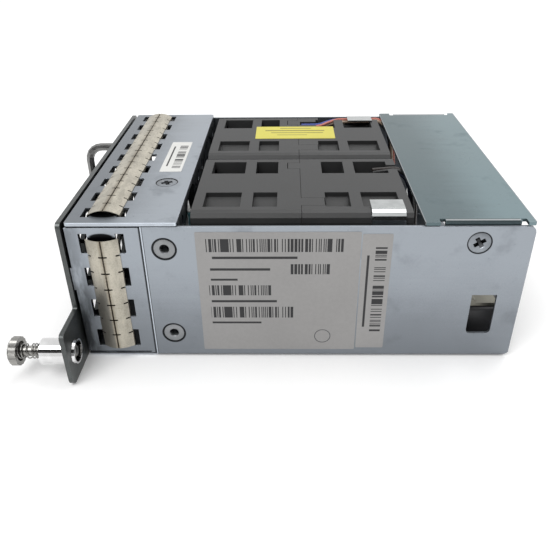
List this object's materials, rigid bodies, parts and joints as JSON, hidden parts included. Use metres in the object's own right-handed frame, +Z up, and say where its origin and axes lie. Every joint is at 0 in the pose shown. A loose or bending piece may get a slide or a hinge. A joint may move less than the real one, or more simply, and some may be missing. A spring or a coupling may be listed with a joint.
{
  "type": "switch fan tray",
  "caption": "Slide-in fan drawer: a sheet-metal channel with a slotted, gasketed front, counter-rotating axial fans side by side, a pull handle and a captive screw.",
  "frame": {"origin": "on the underside of the tray floor, midway across the body and midway along the tray channel", "axes": "+X from the face plate to the open rear, +Y from the side with the captive screw to the side with the handle, +Z up"},
  "size_m": [0.1336, 0.1031, 0.0423],
  "materials": {
    "tray_channel": "satin zinc-plated sheet",
    "front_frame": "satin zinc-plated sheet",
    "front_top_strip": "satin zinc-plated sheet",
    "face_plate": "satin zinc-plated sheet",
    "handle": "satin steel",
    "captive_screw_ferrule": "bright nickel",
    "captive_screw": "satin steel",
    "captive_screw_spring": "satin steel",
    "gasket_top": "thin satin contact strip",
    "gasket_near": "thin satin contact strip",
    "gasket_far": "thin satin contact strip",
    "rear_cover": "satin zinc-plated sheet, darker",
    "fan_bulkhead": "satin zinc-plated sheet",
    "rivet_near_lower": "satin",
    "rivet_near_upper": "satin",
    "cover_screw_near": "satin steel",
    "rivet_far_lower": "satin",
    "rivet_far_upper": "satin",
    "cover_screw_far": "satin steel",
    "strip_screw": "satin steel",
    "near_fan_housing_front": "dark grey moulded",
    "near_impeller_front": "dark grey moulded",
    "near_shaft_front": "satin steel",
    "near_magnet_front": "dark bonded magnet",
    "near_stator_front": "laminated steel with copper winding",
    "near_bearing_front_inner": "satin steel",
    "near_bearing_front_outer": "satin steel",
    "near_fan_housing_rear": "dark grey moulded",
    "near_impeller_rear": "dark grey moulded",
    "near_shaft_rear": "satin steel",
    "near_magnet_rear": "dark bonded magnet",
    "near_stator_rear": "laminated steel with copper winding",
    "near_bearing_rear_inner": "satin steel",
    "near_bearing_rear_outer": "satin steel",
    "far_fan_housing_front": "dark grey moulded",
    "far_impeller_front": "dark grey moulded",
    "far_shaft_front": "satin steel",
    "far_magnet_front": "dark bonded magnet",
    "far_stator_front": "laminated steel with copper winding",
    "far_bearing_front_inner": "satin steel",
    "far_bearing_front_outer": "satin steel",
    "far_fan_housing_rear": "dark grey moulded",
    "far_impeller_rear": "dark grey moulded",
    "far_shaft_rear": "satin steel",
    "far_magnet_rear": "dark bonded magnet",
    "far_stator_rear": "laminated steel with copper winding",
    "far_bearing_rear_inner": "satin steel",
    "far_bearing_rear_outer": "satin steel",
    "fan_clip_near": "bright nickel",
    "fan_clip_far": "bright nickel",
    "connector_housing": "black moulded",
    "connector_bracket": "satin steel",
    "fan_harness_far": "insulated leads",
    "fan_harness_near": "insulated leads",
    "locating_pin_front": "moulded pin",
    "locating_pin_rear": "moulded pin"
  },
  "bodies": {
    "tray": {"tray_channel": "tray_channel", "front_frame": "front_frame", "front_top_strip": "front_top_strip", "face_plate": "face_plate", "handle": "handle", "captive_screw_ferrule": "captive_screw_ferrule", "gasket_top": "gasket_top", "gasket_near": "gasket_near", "gasket_far": "gasket_far", "rear_cover": "rear_cover", "fan_bulkhead": "fan_bulkhead", "rivet_near_lower": "rivet_near_lower", "rivet_near_upper": "rivet_near_upper", "cover_screw_near": "cover_screw_near", "rivet_far_lower": "rivet_far_lower", "rivet_far_upper": "rivet_far_upper", "cover_screw_far": "cover_screw_far", "strip_screw": "strip_screw", "near_fan_housing_front": "near_fan_housing_front", "near_stator_front": "near_stator_front", "near_bearing_front_inner": "near_bearing_front_inner", "near_bearing_front_outer": "near_bearing_front_outer", "near_fan_housing_rear": "near_fan_housing_rear", "near_stator_rear": "near_stator_rear", "near_bearing_rear_inner": "near_bearing_rear_inner", "near_bearing_rear_outer": "near_bearing_rear_outer", "far_fan_housing_front": "far_fan_housing_front", "far_stator_front": "far_stator_front", "far_bearing_front_inner": "far_bearing_front_inner", "far_bearing_front_outer": "far_bearing_front_outer", "far_fan_housing_rear": "far_fan_housing_rear", "far_stator_rear": "far_stator_rear", "far_bearing_rear_inner": "far_bearing_rear_inner", "far_bearing_rear_outer": "far_bearing_rear_outer", "fan_clip_near": "fan_clip_near", "fan_clip_far": "fan_clip_far", "connector_housing": "connector_housing", "connector_bracket": "connector_bracket", "fan_harness_far": "fan_harness_far", "fan_harness_near": "fan_harness_near", "locating_pin_front": "locating_pin_front", "locating_pin_rear": "locating_pin_rear"},
    "near_front_rotor": {"near_impeller_front": "near_impeller_front", "near_shaft_front": "near_shaft_front", "near_magnet_front": "near_magnet_front"},
    "near_rear_rotor": {"near_impeller_rear": "near_impeller_rear", "near_shaft_rear": "near_shaft_rear", "near_magnet_rear": "near_magnet_rear"},
    "far_front_rotor": {"far_impeller_front": "far_impeller_front", "far_shaft_front": "far_shaft_front", "far_magnet_front": "far_magnet_front"},
    "far_rear_rotor": {"far_impeller_rear": "far_impeller_rear", "far_shaft_rear": "far_shaft_rear", "far_magnet_rear": "far_magnet_rear"},
    "captive_screw_carrier": {"captive_screw_spring": "captive_screw_spring"},
    "captive_screw_turn": {"captive_screw": "captive_screw"}
  },
  "joints": [
    {"name": "near_front_impeller_spin", "type": "hinge", "parent": "tray", "child": "near_front_rotor", "pos_m": [-0.02435, -0.01945, 0.021], "axis": [1, 0, 0], "continuous": true},
    {"name": "near_rear_impeller_spin", "type": "hinge", "parent": "tray", "child": "near_rear_rotor", "pos_m": [0.00745, -0.01945, 0.021], "axis": [1, 0, 0], "continuous": true},
    {"name": "far_front_impeller_spin", "type": "hinge", "parent": "tray", "child": "far_front_rotor", "pos_m": [-0.02435, 0.02165, 0.021], "axis": [1, 0, 0], "continuous": true},
    {"name": "far_rear_impeller_spin", "type": "hinge", "parent": "tray", "child": "far_rear_rotor", "pos_m": [0.00745, 0.02165, 0.021], "axis": [1, 0, 0], "continuous": true},
    {"name": "captive_screw_push", "type": "slide", "parent": "tray", "child": "captive_screw_carrier", "axis": [1, 0, 0], "range_m": [0, 0.0054], "stiffness_N_per_m": 250, "springref_m": -0.002, "deforming": ["captive_screw_spring"]},
    {"name": "captive_screw_spin", "type": "hinge", "parent": "captive_screw_carrier", "child": "captive_screw_turn", "pos_m": [-0.08215, -0.0518, 0.0074], "axis": [1, 0, 0], "continuous": true}
  ]
}
